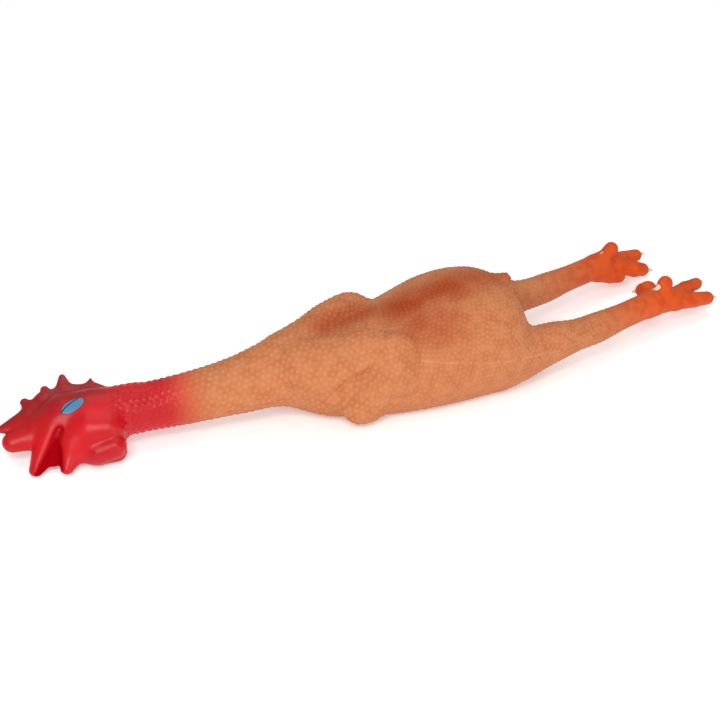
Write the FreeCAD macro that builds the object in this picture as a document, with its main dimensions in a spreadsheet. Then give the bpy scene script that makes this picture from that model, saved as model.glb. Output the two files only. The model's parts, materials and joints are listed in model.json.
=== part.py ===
import FreeCAD, Part
import math
import os

# A rubber chicken for stage comedy: a plucked, soft moulded bird lying on its belly.
# Frame in millimetres: +X runs to the feet, -X to the head, -Y is the bird's left side, +Z is up.
# The origin is the middle of the flat patch the belly rests on.

Vector = FreeCAD.Vector
doc = FreeCAD.newDocument("rubber_chicken")
dims = doc.addObject("Spreadsheet::Sheet", "dims")

# Sizes of the whole bird: alias, value, meaning.
DRIVING = [
    ("skin_wall", 2.0, "thickness of the moulded latex skin"),
    ("filling_clearance", 0.4, "gap between the stuffing and the skin"),
    ("socket_ratio", 1.08, "socket radius over the radius of the ball that turns in it"),
    ("ball_swell", 0.98, "taper radius at a ball over the ball's own radius"),
    ("neck_link_length", 28.0, "spacing of the neck's flex zones"),
    ("neck_root_radius", 20.0, "neck where it leaves the body"),
    ("neck_low_radius", 15.8, "neck at its first flex zone"),
    ("neck_high_radius", 14.0, "neck at its second flex zone"),
    ("throat_radius", 13.3, "neck where it meets the head"),
    ("haunch_radius", 14.5, "root of the leg inside the body"),
    ("haunch_dip", 3.6, "how far the root of the leg lies below the hip"),
    ("hip_ball_radius", 11.2, "leg where it leaves the body"),
    ("knee_radius", 9.0, "leg at the knee"),
    ("ankle_radius", 7.4, "leg at the ankle"),
    ("thigh_length", 35.5, "hip to knee"),
    ("shank_length", 42.0, "knee to ankle"),
    ("hip_along", 72.0, "hip centres behind the origin"),
    ("hip_aside", 27.8, "hip centres either side of the middle"),
    ("hip_height", 20.6, "hip centres above the floor"),
    ("wing_upper_radius", 11.0, "upper arm at the shoulder"),
    ("wing_elbow_radius", 12.0, "folded elbow"),
    ("wing_wrist_radius", 9.5, "end of the folded forearm"),
    ("tail_radius", 5.0, "stub of the tail"),
    ("vent_radius", 0.9, "small air hole beside the left thigh"),
    ("plug_radius", 6.0, "plug that closes the stuffing hole under the breast"),
    ("plug_flange_radius", 9.0, "inner flange that holds the plug in"),
    ("plug_along", -38.0, "plug ahead of the origin"),
    ("skull_radius", 15.5, "rounded skull"),
    ("comb_thickness", 8.0, "thickness of the comb blade"),
    ("beak_root_radius", 9.5, "each half of the beak at the face"),
    ("beak_tip_radius", 3.2, "each half of the beak at its tip"),
    ("wattle_radius", 7.5, "fleshy lobe under the beak"),
    ("palm_radius", 7.0, "middle of the foot"),
    ("toe_root_radius", 4.8, "toe at the foot"),
    ("toe_tip_radius", 3.6, "toe at the claw"),
    ("claw_length", 5.0, "pointed claw beyond the toe"),
    ("squeaker_radius", 16.0, "outside of the squeaker housing"),
    ("squeaker_wall", 1.5, "wall of the squeaker housing"),
    ("squeaker_base", 12.0, "height of the squeaker above the floor"),
    ("housing_height", 9.0, "height of the squeaker housing"),
    ("bellows_radius", 15.0, "outside of the squeaker bellows"),
    ("bellows_wall", 0.8, "wall of the squeaker bellows"),
    ("pleat_height", 4.0, "height of one pleat of the bellows"),
    ("pleat_depth", 3.0, "how far a pleat folds in"),
    ("cap_thickness", 2.5, "push plate on top of the bellows"),
    ("cap_travel", 6.0, "how far the push plate goes down when the belly is squeezed"),
    ("nozzle_radius", 3.5, "tube the air is blown through"),
    ("nozzle_height", 7.0, "length of that tube"),
    ("reed_length", 5.0, "vibrating tongue"),
    ("reed_width", 2.4, "width of the tongue"),
    ("reed_thickness", 0.4, "thickness of the tongue"),
    ("part_gap", 0.15, "gap between neighbouring squeaker parts"),
]

# Cross-sections of the body from neck to tail: name, along, aside, half width, top, bottom.
STATIONS = [
    ("neckend", -95.0, 3.2, 20.2, 50.0, 10.0),
    ("shoulder", -78.0, 1.0, 25.0, 49.0, 3.0),
    ("breast", -50.0, 0.0, 33.5, 48.5, -4.0),
    ("waist", -20.0, 0.0, 42.0, 53.5, -9.0),
    ("rump", 20.0, 0.0, 47.0, 62.0, -12.0),
    ("haunch", 45.0, 0.0, 42.0, 56.0, -13.0),
    ("rear", 54.0, 0.0, 26.0, 45.5, -2.0),
    ("tailend", 61.0, 0.0, 10.0, 28.0, 12.0),
]

# Rest attitude of each flexible length: name, turn to the bird's right, droop, in degrees.
NECK_REST = [("neck_lower", 8.5, 7.5), ("neck_middle", 10.5, 6.5), ("neck_upper", 12.0, 4.0)]
LEG_REST = [("thigh", 9.0, 2.0), ("shank", 14.0, 1.5), ("foot", 7.0, 4.0)]
HEAD_ROLL = 58.0

row = 1
for alias, value, meaning in DRIVING:
    dims.set(f"A{row}", meaning)
    dims.set(f"B{row}", str(value))
    dims.setAlias(f"B{row}", alias)
    row += 1
for station, along, aside, half_width, top, bottom in STATIONS:
    measures = (("along", along), ("aside", aside), ("half_width", half_width), ("top", top), ("bottom", bottom))
    for measure, value in measures:
        dims.set(f"A{row}", f"{station} section, {measure}")
        dims.set(f"B{row}", str(value))
        dims.setAlias(f"B{row}", f"{station}_{measure}")
        row += 1
doc.recompute()


def size(alias):
    """The present value of one driving dimension."""
    return float(dims.get(alias))


# ------------------------------------------------------------------ small building helpers

def ball(name, centre, radius, pole=Vector(0, 0, 1)):
    """A sphere whose radius follows an expression, with its poles along a direction."""
    shape = doc.addObject("Part::Sphere", name)
    shape.setExpression("Radius", radius)
    shape.Placement = FreeCAD.Placement(centre, FreeCAD.Rotation(Vector(0, 0, 1), pole))
    return shape


def frustum(name, start, end, start_radius, end_radius):
    """A round tapering length between two points."""
    shape = doc.addObject("Part::Cone", name)
    shape.setExpression("Radius1", start_radius)
    shape.setExpression("Radius2", end_radius)
    shape.Height = (end - start).Length
    shape.Placement = FreeCAD.Placement(start, FreeCAD.Rotation(Vector(0, 0, 1), end - start))
    return shape


def limb(name, start, end, start_radius, end_radius):
    """A tapering length with rounded ends."""
    return joined(name, [
        frustum(f"{name}_shaft", start, end, start_radius, end_radius),
        ball(f"{name}_root", start, start_radius),
        ball(f"{name}_tip", end, end_radius),
    ])


def joined(name, shapes):
    whole = doc.addObject("Part::MultiFuse", name)
    whole.Shapes = shapes
    return whole


def cut_away(name, base, tools):
    """The base less every tool."""
    result = doc.addObject("Part::Cut", name)
    result.Base = base
    result.Tool = tools[0] if len(tools) == 1 else joined(f"{name}_tools", tools)
    return result


def floor_block(name, level):
    """Everything under a level, as wide as the bird."""
    block = doc.addObject("Part::Box", name)
    block.Length = size("hip_along") * 6
    block.Width = size("hip_aside") * 6
    block.Height = size("hip_height") * 3
    block.Placement.Base = Vector(-block.Length.Value / 2, -block.Width.Value / 2, -block.Height.Value)
    block.setExpression("Placement.Base.z", f"{level} - Height / 1mm")
    return block


def sketch_on(body, role, name):
    """A sketch lying on one of the body's own origin planes."""
    sketch = body.newObject("Sketcher::SketchObject", name)
    plane = next(f for f in body.Origin.OriginFeatures if f.Role == role)
    sketch.AttachmentSupport = (plane, [""])
    sketch.MapMode = "FlatFace"
    return sketch


def closed_outline(sketch, points):
    """Straight lines through the points, back to the first."""
    corners = [Vector(x, y, 0) for x, y in points]
    for start, end in zip(corners, corners[1:] + corners[:1]):
        sketch.addGeometry(Part.LineSegment(start, end), False)
    return sketch


def turned(name, profile):
    """A body of revolution about its own Z axis from a half profile of radius and height."""
    body = doc.addObject("PartDesign::Body", name)
    sketch = closed_outline(sketch_on(body, "XZ_Plane", f"{name}_profile"), profile)
    revolution = body.newObject("PartDesign::Revolution", f"{name}_turn")
    revolution.Profile = sketch
    revolution.ReferenceAxis = (sketch, ["V_Axis"])
    revolution.Angle = 360
    body.Tip = revolution
    return body


nodes = {}


def publish(node, shape):
    """Names a finished sub-part and keeps it for writing out."""
    shape.Label = node
    nodes[node] = shape
    return shape


# ------------------------------------------------------------------ rest attitude of neck and legs

def travel(turn, droop, towards):
    """Unit direction towards the head (-1) or the feet (+1), turned to the right and drooping."""
    yaw, dip = math.radians(turn), math.radians(droop)
    return Vector(towards * math.cos(yaw) * math.cos(dip), math.sin(yaw) * math.cos(dip), -math.sin(dip))


def link_frame(base, direction):
    """Placement whose X axis runs along a link and whose Z axis stays as upright as it can."""
    aside = Vector(0, 0, 1).cross(direction)
    return FreeCAD.Placement(base, FreeCAD.Rotation(direction, aside, Vector(0, 0, 1), "XZY"))


neck_root = Vector(size("neckend_along"), size("neckend_aside"),
                   (size("neckend_top") + size("neckend_bottom")) / 2)
neck_bases = [neck_root]
neck_directions = []
for _, turn, droop in NECK_REST:
    neck_directions.append(travel(turn, droop, -1))
    neck_bases.append(neck_bases[-1] + neck_directions[-1] * size("neck_link_length"))

hips = {
    "left": Vector(size("hip_along"), -size("hip_aside"), size("hip_height")),
    "right": Vector(size("hip_along"), size("hip_aside"), size("hip_height")),
}

# ------------------------------------------------------------------ body: skin, stuffing and plug

ACROSS = FreeCAD.Rotation(Vector(0, 1, 0), Vector(0, 0, 1), Vector(1, 0, 0), "XYZ")


def trunk(name, shrink):
    """The body as a loft through its stations, drawn in all round by the shrink expression."""
    rings = []
    last = STATIONS[-1][0]
    for station, *_ in STATIONS:
        ring = doc.addObject("Part::Ellipse", f"{name}_{station}")
        ring.setExpression("MajorRadius", f"dims.{station}_half_width - {shrink}")
        ring.setExpression("MinorRadius", f"(dims.{station}_top - dims.{station}_bottom) / 2 - {shrink}")
        ring.Placement.Rotation = ACROSS
        inset = shrink if station == last else "0"
        ring.setExpression("Placement.Base.x", f"dims.{station}_along - {inset}")
        ring.setExpression("Placement.Base.y", f"dims.{station}_aside")
        ring.setExpression("Placement.Base.z", f"(dims.{station}_top + dims.{station}_bottom) / 2")
        rings.append(ring)
    loft = doc.addObject("Part::Loft", f"{name}_loft")
    loft.Sections = rings
    loft.Solid = True
    loft.Ruled = False
    haunches = [frustum(f"{name}_{side}_haunch", Vector(hip.x - size("thigh_length"), hip.y, hip.z - size("haunch_dip")), hip,
                        f"dims.haunch_radius - {shrink}", f"dims.hip_ball_radius - {shrink}")
                for side, hip in hips.items()]
    return cut_away(name, joined(f"{name}_form", [loft] + haunches), [floor_block(f"{name}_floor", shrink)])


def folded_wing(side, sign):
    """Upper arm and forearm folded into a V whose elbow points to the tail."""
    shoulder = Vector(-70, sign * 16, 36)
    elbow = Vector(-39, sign * 30, 37)
    wrist = Vector(-59, sign * 28, 14)
    return [
        limb(f"{side}_upper_arm", shoulder, elbow, "dims.wing_upper_radius", "dims.wing_elbow_radius"),
        limb(f"{side}_forearm", elbow, wrist, "dims.wing_elbow_radius", "dims.wing_wrist_radius"),
    ]


def joint_sockets(name, extra):
    """The round hollows in the body where neck and legs turn."""
    sockets = [ball(f"{name}_neck_socket", neck_root, f"dims.neck_root_radius * dims.socket_ratio + {extra}")]
    for side, centre in hips.items():
        radius = f"dims.hip_ball_radius * dims.socket_ratio + {extra}"
        sockets.append(ball(f"{name}_{side}_hip_socket", centre, radius))
    return sockets


plug_centre = Vector(size("plug_along"), 0, 0)
wall = "dims.skin_wall"
core = "(dims.skin_wall + dims.filling_clearance)"

tail_stub = limb("tail_stub", Vector(46, 0, 50), Vector(54, 0, 53), "dims.tail_radius", "dims.tail_radius * 0.7")
wings = folded_wing("left", -1) + folded_wing("right", 1)
trunk_outside = joined("trunk_outside", [trunk("trunk_form", "0"), tail_stub] + wings)

plug_hole = frustum("plug_hole", plug_centre - Vector(0, 0, 1), plug_centre + Vector(0, 0, 4),
                    "dims.plug_radius + dims.part_gap", "dims.plug_radius + dims.part_gap")
vent = frustum("vent", Vector(44, -30, 16), Vector(50, -60, 18), "dims.vent_radius", "dims.vent_radius")
torso_skin = cut_away("torso_skin", trunk_outside,
                      [trunk("trunk_cavity", wall), plug_hole, vent] + joint_sockets("skin", "0"))
publish("torso_skin", torso_skin)

plug = turned("fill_plug", [
    (0, 0.2),
    (size("plug_radius"), 0.2),
    (size("plug_radius"), size("skin_wall") + size("part_gap")),
    (size("plug_flange_radius"), size("skin_wall") + size("part_gap")),
    (size("plug_flange_radius"), size("skin_wall") + 2.0),
    (0, size("skin_wall") + 2.0),
])
plug.Placement.Base = plug_centre
publish("fill_plug", plug)

# The stuffing leaves a round pocket for the squeaker and a hollow for the plug's flange.
pocket_radius = "dims.squeaker_radius + 1.5"
pocket = doc.addObject("Part::Cylinder", "squeaker_pocket")
pocket.setExpression("Radius", pocket_radius)
pocket.setExpression("Height", "dims.housing_height + 6 * dims.pleat_height + dims.cap_thickness")
pocket.setExpression("Placement.Base.z", "dims.squeaker_base - 1.5")
air_way = frustum("air_way", Vector(0, 0, 0), Vector(0, 0, size("squeaker_base")),
                  "dims.nozzle_radius + 1", "dims.nozzle_radius + 1")
plug_relief = frustum("plug_relief", plug_centre, plug_centre + Vector(0, 0, size("skin_wall") + 3),
                      "dims.plug_flange_radius + 1", "dims.plug_flange_radius + 1")
torso_filling = cut_away("torso_filling", trunk("stuffing_form", core),
                         [pocket, air_way, plug_relief] + joint_sockets("stuffing", "dims.filling_clearance"))
publish("torso_filling", torso_filling)

# ------------------------------------------------------------------ squeaker

radius, thin = size("squeaker_radius"), size("squeaker_wall")
base, tall = size("squeaker_base"), size("housing_height")
gap = size("part_gap")
nozzle, pipe = size("nozzle_radius"), size("nozzle_height")

housing = turned("squeaker_housing", [
    (nozzle + gap, 0), (radius, 0), (radius, tall), (radius - thin, tall), (radius - thin, thin), (nozzle + gap, thin),
])
housing.Placement.Base = Vector(0, 0, base)
publish("squeaker_housing", housing)

reed_slot = size("reed_thickness") / 2 + gap
nozzle_body = turned("squeaker_nozzle", [
    (1.6, -2.0), (nozzle, -2.0), (nozzle, thin + gap), (nozzle + 2, thin + gap), (nozzle + 2, thin + 1.2),
    (nozzle, thin + 1.2), (nozzle, pipe), (1.6, pipe),
])
slot_sketch = sketch_on(nozzle_body, "XZ_Plane", "reed_slot")
closed_outline(slot_sketch, [(-reed_slot, pipe - 3), (reed_slot, pipe - 3), (reed_slot, pipe + 1),
                             (-reed_slot, pipe + 1)])
slot = nozzle_body.newObject("PartDesign::Pocket", "reed_slot_cut")
slot.Profile = slot_sketch
slot.Type = 1
slot.Midplane = True
nozzle_body.Tip = slot
nozzle_body.Placement.Base = Vector(0, 0, base)
publish("squeaker_nozzle", nozzle_body)

reed = doc.addObject("PartDesign::Body", "squeaker_reed")
reed_half = size("reed_thickness") / 2
reed_sketch = sketch_on(reed, "XZ_Plane", "reed_outline")
closed_outline(reed_sketch, [(-reed_half, pipe - 2.8), (reed_half, pipe - 2.8),
                             (reed_half, pipe - 2.8 + size("reed_length")), (-reed_half, pipe - 2.8 + size("reed_length"))])
tongue = reed.newObject("PartDesign::Pad", "reed_tongue")
tongue.Profile = reed_sketch
tongue.setExpression("Length", "dims.reed_width")
tongue.Midplane = True
reed.Tip = tongue
reed.Placement.Base = Vector(0, 0, base)
publish("squeaker_reed", reed)

PLEATS = 4
pleat, fold = size("pleat_height"), size("pleat_depth")
outer, skin = size("bellows_radius"), size("bellows_wall")
outside = [(outer - (fold if step % 2 else 0), step * pleat / 2) for step in range(2 * PLEATS + 1)]
inside = [(r - skin, h) for r, h in outside]
bellows = turned("squeaker_bellows", outside + inside[::-1])
bellows_base = base + tall + gap
bellows.Placement.Base = Vector(0, 0, bellows_base)
publish("squeaker_bellows", bellows)

cap_base = bellows_base + PLEATS * pleat + gap
cap = turned("squeaker_cap", [
    (0, 0), (outer, 0), (outer, size("cap_thickness")), (0, size("cap_thickness")),
])
cap.Placement.Base = Vector(0, 0, cap_base)
publish("squeaker_cap", cap)

# ------------------------------------------------------------------ neck and legs

def flexible_link(node, base, direction, start_radius, end_radius, length):
    """One length of neck or leg: a hollow skin with a ball at its root, a socket at its end, and stuffing."""
    end = Vector(length, 0, 0)
    frame = link_frame(base, direction)

    def form(name, shrink):
        return joined(name, [
            frustum(f"{name}_taper", Vector(), end, f"{start_radius} * dims.ball_swell - {shrink}",
                    f"{end_radius} - {shrink}"),
            ball(f"{name}_ball", Vector(), f"{start_radius} - {shrink}", end),
        ])

    socket = f"{end_radius} * dims.socket_ratio"
    hide = cut_away(f"{node}_skin", form(f"{node}_outside", "0"), [
        form(f"{node}_cavity", wall), ball(f"{node}_socket", end, socket, end),
    ])
    hide.Placement = frame
    publish(f"{node}_skin", hide)
    stuffing = cut_away(f"{node}_filling", form(f"{node}_core", core), [
        ball(f"{node}_core_socket", end, f"{socket} + dims.filling_clearance", end),
    ])
    stuffing.Placement = frame
    publish(f"{node}_filling", stuffing)


neck_radii = ["dims.neck_root_radius", "dims.neck_low_radius", "dims.neck_high_radius", "dims.throat_radius"]
for index, (link, _, _) in enumerate(NECK_REST):
    flexible_link(link, neck_bases[index], neck_directions[index],
                  neck_radii[index], neck_radii[index + 1], size("neck_link_length"))

# ------------------------------------------------------------------ feet

# Front toes and hind toe: name, start along the foot, start inwards, splay inwards, rise, length.
TOES = [
    ("outer_toe", 22.0, -2.0, -6.0, -4.0, 22.0),
    ("middle_toe", 22.0, 2.0, 14.0, 0.0, 22.0),
    ("inner_toe", 9.0, 3.0, 60.0, 2.0, 15.0),
    ("hind_toe", 12.0, 1.0, 15.0, 58.0, 10.0),
]


def foot(side, inward, base, direction):
    """A solid rubber foot: ball at the ankle, palm, three front toes, a curled hind toe and claws."""
    palm_end = Vector(22, 0, -1)
    pieces = [
        limb(f"{side}_palm", Vector(), palm_end, "dims.ankle_radius", "dims.palm_radius"),
    ]
    for toe, along, inwards, splay, rise, length in TOES:
        name = f"{side}_{toe}"
        start = Vector(along, inward * inwards, 0)
        yaw, lift = math.radians(inward * splay), math.radians(rise)
        heading = Vector(math.cos(yaw) * math.cos(lift), math.sin(yaw) * math.cos(lift), math.sin(lift))
        tip = start + heading * length
        pieces.append(limb(name, start, tip, "dims.toe_root_radius", "dims.toe_tip_radius"))
        point = Vector(-0.75, 0, -0.65) if toe == "hind_toe" else heading
        pieces.append(frustum(f"{name}_claw", tip, tip + point * (size("toe_tip_radius") + size("claw_length")),
                              "dims.toe_tip_radius * 0.8", "0.4"))
    whole = joined(f"{side}_foot", pieces)
    whole.Placement = link_frame(base, direction)
    publish(f"{side}_foot", whole)


for side, inward in (("left", 1), ("right", -1)):
    knee_base = hips[side]
    headings = [travel(turn, droop, 1) for _, turn, droop in LEG_REST]
    flexible_link(f"{side}_thigh", knee_base, headings[0], "dims.hip_ball_radius", "dims.knee_radius",
                  size("thigh_length"))
    knee = knee_base + headings[0] * size("thigh_length")
    flexible_link(f"{side}_shank", knee, headings[1], "dims.knee_radius", "dims.ankle_radius",
                  size("shank_length"))
    ankle = knee + headings[1] * size("shank_length")
    foot(side, inward, ankle, headings[2])

# ------------------------------------------------------------------ head

# In the head's own frame X runs from the neck to the crown, Y to its left cheek and Z to the nape,
# so the beak points to -Z.  The comb outline is read round the crown from nape to beak.
COMB = [
    (15, 9), (23, 23), (33, 18), (38.5, 28), (43.5, 19), (49, 23), (52.5, 15.5), (62, 18), (64.5, 9),
    (78, 2.5), (77, -4), (71, -10), (62, -12), (48, -8), (30, -4),
]
upper_tip, lower_tip = Vector(61, 0, -24), Vector(46.5, 0, -26.5)
skull_centre = Vector(36, 0, 2)
face = Vector(42, 0, -5)

comb = doc.addObject("PartDesign::Body", "comb")
comb_sketch = closed_outline(sketch_on(comb, "XZ_Plane", "comb_outline"), COMB)
blade = comb.newObject("PartDesign::Pad", "comb_blade")
blade.Profile = comb_sketch
blade.setExpression("Length", "dims.comb_thickness")
blade.Midplane = True
comb.Tip = blade

head_parts = [
    limb("skull", Vector(), skull_centre, "dims.throat_radius", "dims.skull_radius"),
    comb,
    limb("upper_beak", face + Vector(4, 0, 0), upper_tip, "dims.beak_root_radius", "dims.beak_tip_radius"),
    limb("lower_beak", face - Vector(6, 0, 0), lower_tip, "dims.beak_root_radius", "dims.beak_tip_radius"),
    limb("mouth_web", face, (upper_tip + lower_tip) / 2 + Vector(0, 0, 6), "dims.beak_root_radius * 0.8",
         "dims.beak_tip_radius"),
]
for side, sign in (("left", 1), ("right", -1)):
    head_parts.append(limb(f"{side}_wattle", Vector(24, sign * 5, -11), Vector(17, sign * 5, -15.5),
                           "dims.wattle_radius", "dims.wattle_radius * 0.9"))
head_outside = joined("head_outside", head_parts)


def head_core(name, shrink):
    """The rounded inside of head and throat, drawn in by the shrink expression."""
    return limb(name, Vector(), skull_centre, f"dims.throat_radius - {shrink}", f"dims.skull_radius - {shrink}")


crown = neck_directions[-1]
level = Vector(0, 0, 1).cross(crown)
level.normalize()
upright = crown.cross(level)
roll = math.radians(HEAD_ROLL)
nape = upright * math.cos(roll) - level * math.sin(roll)
head_frame = FreeCAD.Placement(neck_bases[-1], FreeCAD.Rotation(crown, nape.cross(crown), nape, "XZY"))
head_skin = cut_away("head_skin", head_outside, [head_core("head_cavity", wall)])
head_filling = head_core("head_filling", core)
for node, shape in (("head_skin", head_skin), ("head_filling", head_filling)):
    shape.Placement = head_frame
    publish(node, shape)

# ------------------------------------------------------------------ writing out

doc.recompute()
for thing in doc.Objects:
    if "Invalid" in thing.State or "Error" in thing.State:
        raise RuntimeError(f"{thing.Name} did not build: {thing.State}")
os.makedirs("parts", exist_ok=True)
for node, shape in nodes.items():
    if shape.Shape.isNull() or not shape.Shape.isValid():
        raise RuntimeError(f"{node} has no sound shape")
    print(node, len(shape.Shape.Solids), "solid(s)", round(shape.Shape.Volume / 1000, 2), "cm3")
    shape.Shape.exportStep(f"parts/{node}.step")
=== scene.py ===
"""Looks for a rubber chicken: one sculpted latex skin, cut into a piece for each moving body."""

import json
import math

import bpy
import numpy as np
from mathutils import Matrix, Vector
from mathutils.kdtree import KDTree


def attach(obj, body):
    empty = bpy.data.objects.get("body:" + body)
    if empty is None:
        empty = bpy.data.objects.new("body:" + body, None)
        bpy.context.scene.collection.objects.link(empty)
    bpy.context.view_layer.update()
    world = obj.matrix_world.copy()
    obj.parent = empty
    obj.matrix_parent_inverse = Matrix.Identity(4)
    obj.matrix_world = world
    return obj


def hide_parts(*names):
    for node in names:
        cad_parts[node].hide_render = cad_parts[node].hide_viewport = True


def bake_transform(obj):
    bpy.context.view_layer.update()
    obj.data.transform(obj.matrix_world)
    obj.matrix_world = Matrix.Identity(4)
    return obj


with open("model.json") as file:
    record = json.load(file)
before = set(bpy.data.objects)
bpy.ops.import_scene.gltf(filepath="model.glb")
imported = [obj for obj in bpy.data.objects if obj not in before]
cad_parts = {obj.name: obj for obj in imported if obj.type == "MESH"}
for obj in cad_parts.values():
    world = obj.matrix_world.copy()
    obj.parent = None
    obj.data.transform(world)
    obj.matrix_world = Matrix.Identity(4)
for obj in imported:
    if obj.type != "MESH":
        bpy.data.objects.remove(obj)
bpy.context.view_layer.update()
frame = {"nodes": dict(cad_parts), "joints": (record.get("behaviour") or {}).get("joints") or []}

# All sculpting is in millimetres; the meshes are scaled to metres when they are made.
MM = 0.001
GRID_STEP = 0.72
GRID_LOW = (-262, -62, -6)
GRID_HIGH = (214, 82, 74)
FAR_OUTSIDE = 50.0
SIDES = {"left": -1, "right": 1}


def unit(vector):
    """The vector at length 1."""
    vector = np.asarray(vector, float)
    return vector / np.linalg.norm(vector)


class Place:
    """A local frame: at(a, b, c) is a point, seen(points) gives local coordinates."""

    def __init__(self, origin, first, second, third):
        self.origin = np.asarray(origin, float)
        self.axes = np.array([first, second, third])

    def at(self, a, b, c):
        return self.origin + np.array([a, b, c]) @ self.axes

    def seen(self, points):
        return (points - self.origin) @ self.axes.T


# ---------------------------------------------------------------- where the joints are

hinges = [joint for joint in frame["joints"] if joint["type"] == "hinge"]
pivot = {joint["name"]: np.array(joint["pos_m"]) / MM for joint in hinges}
NECK = [pivot[name] for name in ("neck_root_bend", "neck_middle_lift", "neck_top_bend", "head_roll")]
NECK_RADII = (20.4, 16.2, 14.4, 13.5)
NECK_SAG = 1.1
HEAD_ROLL = math.radians(58)

crown = unit(NECK[3] - NECK[2])
level = unit(np.cross((0, 0, 1), crown))
upright = np.cross(crown, level)
nape = upright * math.cos(HEAD_ROLL) - level * math.sin(HEAD_ROLL)
cheek = np.cross(nape, crown)
head = Place(NECK[3], crown, cheek, nape)

legs = {}
for side in SIDES:
    legs[side] = [pivot[side + joint] for joint in ("_hip_lift", "_knee_sway", "_ankle_lift")]


# ---------------------------------------------------------------- clay: a grid of distances


def smooth_min(a, b, blend):
    """The smaller of two distances, rounded where they are within blend of each other."""
    if blend <= 0:
        return np.minimum(a, b)
    overlap = np.maximum(blend - np.abs(a - b), 0) / blend
    return np.minimum(a, b) - overlap**2 * blend / 4


class Clay:
    """Distances to the surface on a regular grid, negative inside."""

    def __init__(self, low, high, step):
        self.step = step
        self.low = np.array(low, float)
        self.shape = tuple(int(math.ceil((h - l) / step)) + 1 for l, h in zip(low, high))
        self.field = np.full(self.shape, FAR_OUTSIDE, np.float32)

    def window(self, low, high, margin):
        """The part of the grid between two corners, and its x, y and z as open axes."""
        first = np.floor((np.asarray(low) - margin - self.low) / self.step).astype(int)
        last = np.ceil((np.asarray(high) + margin - self.low) / self.step).astype(int) + 1
        first = np.clip(first, 0, self.shape)
        last = np.clip(last, 0, self.shape)
        part = tuple(slice(a, b) for a, b in zip(first, last))
        axes = [self.low[k] + self.step * np.arange(first[k], last[k]) for k in range(3)]
        return part, np.ix_(*axes)

    def add(self, form, low, high, blend=0.0):
        part, grid = self.window(low, high, blend + 3 * self.step)
        self.field[part] = smooth_min(self.field[part], form(grid), blend)

    def carve(self, form, low, high, blend=0.0):
        part, grid = self.window(low, high, blend + 3 * self.step)
        self.field[part] = -smooth_min(-self.field[part], form(grid), blend)

    def rod(self, a, b, radius_a, radius_b, blend=0.0, thin=None, hollow=False):
        """Adds a tapered rod with round ends, or carves it out if hollow."""
        reach = max(radius_a, radius_b)
        low = np.minimum(a, b) - reach
        high = np.maximum(a, b) + reach
        work = self.carve if hollow else self.add
        work(lambda grid: rod_distance(grid, a, b, radius_a, radius_b, thin), low, high, blend)


def dot(grid, vector):
    return grid[0] * vector[0] + grid[1] * vector[1] + grid[2] * vector[2]


def rod_distance(grid, a, b, radius_a, radius_b, thin):
    """Distance to a tapered rod from a to b. thin = (direction, factor) flattens it that way."""
    q = [axis - start for axis, start in zip(grid, a)]
    run = np.asarray(b, float) - a
    q_q = q[0] ** 2 + q[1] ** 2 + q[2] ** 2
    q_run = dot(q, run)
    run_run = run @ run
    if thin is not None:
        direction, factor = thin
        stretch = factor**2 - 1
        q_flat = dot(q, direction)
        run_flat = run @ direction
        q_q = q_q + stretch * q_flat**2
        q_run = q_run + stretch * q_flat * run_flat
        run_run = run_run + stretch * run_flat**2
    t = np.clip(q_run / run_run, 0, 1)
    away = np.sqrt(np.maximum(q_q - 2 * t * q_run + t**2 * run_run, 0))
    return away - (radius_a + (radius_b - radius_a) * t)


def smooth_curve(x, xs, ys):
    """A curve through the stations, and its slope, at x."""
    slopes = np.gradient(ys, xs)
    x = np.clip(x, xs[0], xs[-1])
    i = np.clip(np.searchsorted(xs, x) - 1, 0, len(xs) - 2)
    gap = xs[i + 1] - xs[i]
    t = (x - xs[i]) / gap
    rise = ys[i + 1] - ys[i]
    bend_a = slopes[i] * gap - rise
    bend_b = slopes[i + 1] * gap - rise
    value = ys[i] + rise * t + t * (1 - t) * (bend_a * (1 - t) - bend_b * t)
    slope = (rise + bend_a * (1 - t) * (1 - 3 * t) - bend_b * t * (2 - 3 * t)) / gap
    return value, slope


def loft_distance(grid, stations):
    """Distance to a body with oval sections. A station is (x, aside, half width, top, bottom)."""
    xs, aside, width, top, bottom = np.array(sorted(stations), float).T
    x = grid[0]
    middle, middle_slope = smooth_curve(x, xs, (top + bottom) / 2)
    height, height_slope = smooth_curve(x, xs, (top - bottom) / 2)
    half, half_slope = smooth_curve(x, xs, width)
    side, side_slope = smooth_curve(x, xs, aside)
    a = (grid[1] - side) / half
    b = (grid[2] - middle) / height
    ring = np.sqrt(a**2 + b**2) + 1e-9
    distance = ring * (ring - 1) / (np.sqrt((a / half) ** 2 + (b / height) ** 2) + 1e-9)
    a, b = a / ring, b / ring
    slope = half_slope * a**2 + height_slope * b**2 + middle_slope * b + side_slope * a
    slope = np.where((x > xs[0]) & (x < xs[-1]), slope, 0)
    distance = distance / np.sqrt(1 + slope**2)
    beyond = np.maximum(np.maximum(x - xs[-1], xs[0] - x), 0)
    return np.where(beyond > 0, np.hypot(np.maximum(distance, 0), beyond), distance)


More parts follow.
